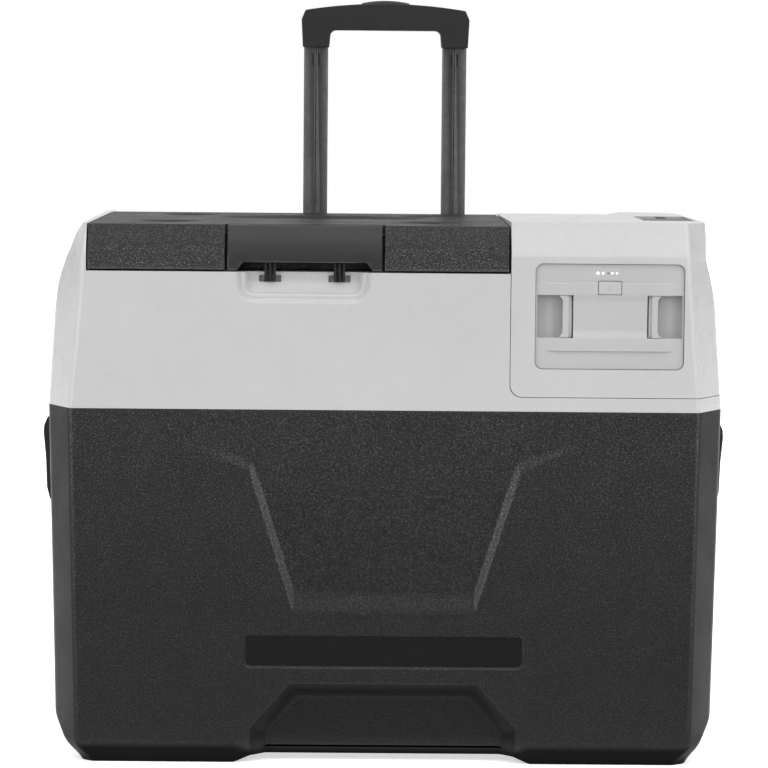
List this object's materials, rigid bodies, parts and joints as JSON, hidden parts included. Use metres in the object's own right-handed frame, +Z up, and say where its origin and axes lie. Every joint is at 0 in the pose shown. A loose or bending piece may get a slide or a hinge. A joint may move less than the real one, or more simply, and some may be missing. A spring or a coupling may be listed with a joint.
{
  "type": "compressor cooler fridge",
  "caption": "Wheeled compressor cooler with a rear-hinged latched lid, slide-out battery, top display panel, side grips and a telescopic pull handle.",
  "frame": {"origin": "on the floor, under the middle of the box that the whole fridge fills with its handle as pictured", "axes": "+Z up, the latched front faces -Y, +X to the right seen from the front (machine side)"},
  "size_m": [0.6864, 0.432, 0.7585],
  "materials": {
    "base_dark": "matte",
    "body_light": "satin",
    "lid_dark": "matte",
    "trim_dark": "satin",
    "tube_dark": "satin",
    "liner_light": "satin",
    "foam": "matte",
    "seal": "matte",
    "steel": "satin",
    "copper": "satin",
    "aluminium": "satin",
    "black_metal": "satin",
    "board_green": "satin",
    "cell_blue": "satin",
    "lamp_white": "gloss",
    "screen_black": "gloss",
    "tyre": "matte"
  },
  "bodies": {
    "body": {"lower_shell": "base_dark", "side_handle_left": "trim_dark", "side_handle_right": "trim_dark", "vent_grille_side": "trim_dark", "vent_grille_rear": "trim_dark", "upper_shell": "body_light", "machine_cover": "body_light", "hinge_bracket_left": "steel", "hinge_bracket_right": "steel", "hinge_pin_left": "steel", "hinge_pin_right": "steel", "cabin_liner": "liner_light", "evaporator": "aluminium", "insulation_foam": "foam", "compressor_tray": "steel", "compressor": "black_metal", "condenser": "aluminium", "fan_frame": "trim_dark", "motor_controller": "aluminium", "filter_drier": "copper", "discharge_pipe": "copper", "suction_pipe": "copper", "control_board": "board_green", "dc_inlet": "trim_dark", "battery_bay": "trim_dark", "battery_connector": "trim_dark", "display_bezel": "body_light", "display_lens": "screen_black", "handle_sleeve_left": "aluminium", "handle_sleeve_right": "aluminium", "handle_bezel": "trim_dark", "wheel_axle": "steel"},
    "lid": {"lid_cover": "lid_dark", "lid_panel": "liner_light", "lid_foam": "foam", "lid_gasket": "seal", "latch_pin": "steel", "latch_spring": "steel"},
    "latch": {"latch_paddle": "trim_dark", "latch_hooks": "trim_dark"},
    "battery": {"battery_case": "body_light", "battery_cells": "cell_blue", "battery_leds": "lamp_white"},
    "battery_tab_left": {"battery_tab_left": "body_light"},
    "battery_tab_right": {"battery_tab_right": "body_light"},
    "battery_button": {"battery_button": "body_light"},
    "panel_button_1": {"panel_button_1": "trim_dark"},
    "panel_button_2": {"panel_button_2": "trim_dark"},
    "panel_button_3": {"panel_button_3": "trim_dark"},
    "panel_button_4": {"panel_button_4": "trim_dark"},
    "pull_handle": {"handle_tube_left": "tube_dark", "handle_tube_right": "tube_dark", "grip_front": "trim_dark", "grip_rear": "trim_dark"},
    "grip_button": {"grip_button": "trim_dark"},
    "wheel_left": {"wheel_tyre_left": "tyre", "wheel_hub_left": "trim_dark"},
    "wheel_right": {"wheel_tyre_right": "tyre", "wheel_hub_right": "trim_dark"},
    "fan": {"fan_rotor": "trim_dark"}
  },
  "joints": [
    {"name": "lid_hinge", "type": "hinge", "parent": "body", "child": "lid", "pos_m": [-0.085, 0.1603, 0.522], "axis": [-1, 0, 0], "range_deg": [0, 85]},
    {"name": "latch_hinge", "type": "hinge", "parent": "lid", "child": "latch", "pos_m": [-0.0787, -0.196, 0.52], "axis": [-1, 0, 0], "range_deg": [0, 30], "stiffness_Nm_per_rad": 0.3},
    {"name": "battery_slide", "type": "slide", "parent": "body", "child": "battery", "axis": [0, -1, 0], "range_m": [0, 0.12]},
    {"name": "battery_tab_left_slide", "type": "slide", "parent": "battery", "child": "battery_tab_left", "axis": [1, 0, 0], "range_m": [0, 0.003], "stiffness_N_per_m": 400},
    {"name": "battery_tab_right_slide", "type": "slide", "parent": "battery", "child": "battery_tab_right", "axis": [-1, 0, 0], "range_m": [0, 0.003], "stiffness_N_per_m": 400},
    {"name": "battery_button_press", "type": "slide", "parent": "battery", "child": "battery_button", "axis": [0, 1, 0], "range_m": [0, 0.0015], "stiffness_N_per_m": 500},
    {"name": "panel_button_1_press", "type": "slide", "parent": "body", "child": "panel_button_1", "axis": [0, 0, -1], "range_m": [0, 0.001], "stiffness_N_per_m": 500},
    {"name": "panel_button_2_press", "type": "slide", "parent": "body", "child": "panel_button_2", "axis": [0, 0, -1], "range_m": [0, 0.001], "stiffness_N_per_m": 500},
    {"name": "panel_button_3_press", "type": "slide", "parent": "body", "child": "panel_button_3", "axis": [0, 0, -1], "range_m": [0, 0.001], "stiffness_N_per_m": 500},
    {"name": "panel_button_4_press", "type": "slide", "parent": "body", "child": "panel_button_4", "axis": [0, 0, -1], "range_m": [0, 0.001], "stiffness_N_per_m": 500},
    {"name": "pull_handle_slide", "type": "slide", "parent": "body", "child": "pull_handle", "axis": [0, 0, 1], "range_m": [-0.225, 0.13]},
    {"name": "grip_button_press", "type": "slide", "parent": "pull_handle", "child": "grip_button", "axis": [0, 0, -1], "range_m": [0, 0.004], "stiffness_N_per_m": 500},
    {"name": "wheel_left_spin", "type": "hinge", "parent": "body", "child": "wheel_left", "pos_m": [-0.2975, 0.171, 0.045], "axis": [1, 0, 0], "continuous": true},
    {"name": "wheel_right_spin", "type": "hinge", "parent": "body", "child": "wheel_right", "pos_m": [0.2975, 0.171, 0.045], "axis": [1, 0, 0], "continuous": true},
    {"name": "fan_spin", "type": "hinge", "parent": "body", "child": "fan", "pos_m": [0.205, 0.174, 0.15], "axis": [0, 1, 0], "continuous": true}
  ]
}
